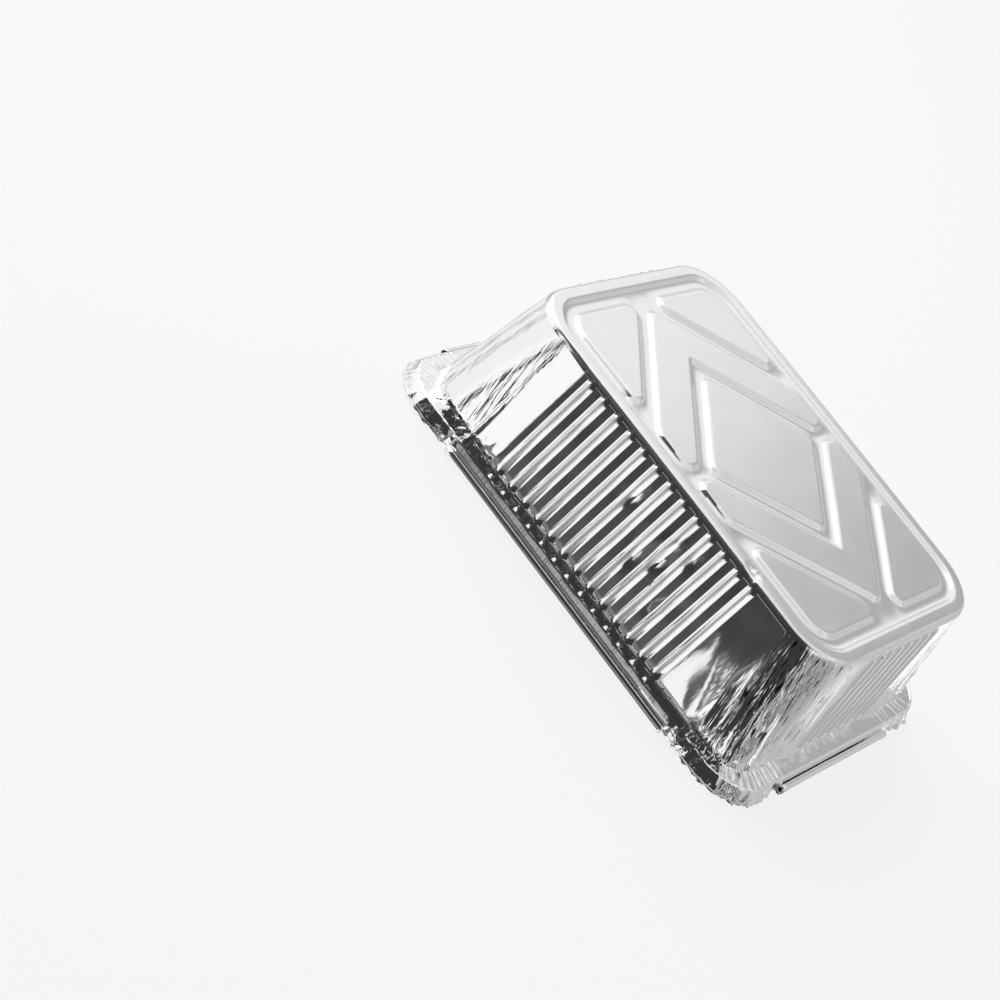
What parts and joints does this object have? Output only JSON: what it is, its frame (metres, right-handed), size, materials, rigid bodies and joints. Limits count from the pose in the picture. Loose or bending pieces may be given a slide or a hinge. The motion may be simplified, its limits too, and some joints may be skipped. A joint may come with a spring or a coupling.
{
  "type": "foil food container",
  "caption": "Oblong container pressed from one sheet of aluminium foil, with ribbed walls, pleated corners, an embossed base and a rolled rim, turned over on its rim.",
  "frame": {"origin": "centre of the rim's plane, on the surface that the turned-over container rests on", "axes": "+X along the length, +Y across the width, +Z from the open mouth up to the base panel"},
  "size_m": [0.218, 0.177, 0.062],
  "materials": {
    "foil": "bright pressed foil, satin on the base and mirror-like on the walls"
  },
  "bodies": {
    "root": {"container": "foil"}
  },
  "joints": []
}
